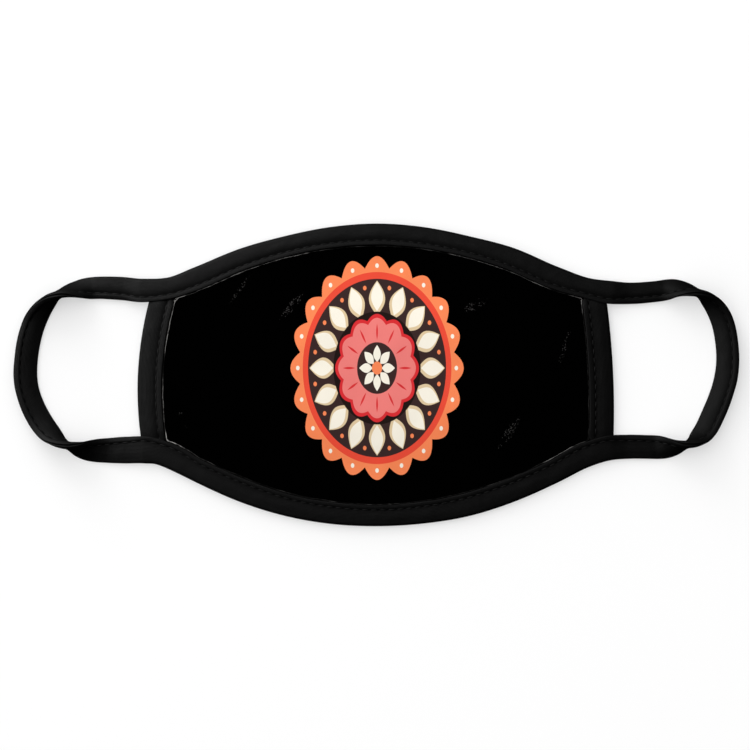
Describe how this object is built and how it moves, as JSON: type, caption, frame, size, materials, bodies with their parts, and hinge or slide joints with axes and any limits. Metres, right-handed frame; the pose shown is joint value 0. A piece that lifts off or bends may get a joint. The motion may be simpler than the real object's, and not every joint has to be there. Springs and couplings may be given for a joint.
{
  "type": "cloth face mask",
  "caption": "Sewn cloth face mask with a printed front, folded tape around its edge and an ear loop at each end, lying flat.",
  "frame": {"origin": "on the surface that the mask lies on, under the middle of its outline", "axes": "+X to the right of the front, towards one ear loop; +Y towards the nose edge; +Z out of the printed front"},
  "size_m": [0.2821, 0.1177, 0.0096],
  "materials": {
    "printed_cloth": "matt black woven cloth with a printed medallion",
    "lining_cloth": "plain matt charcoal cotton",
    "binding_tape": "black folded tape with a faint sheen",
    "thread": "black sewing thread"
  },
  "bodies": {
    "root": {"front_panel": "printed_cloth", "lining": "lining_cloth", "left_side_binding": "binding_tape", "right_side_binding": "binding_tape", "edge_binding_and_ear_loops": "binding_tape"}
  },
  "joints": []
}
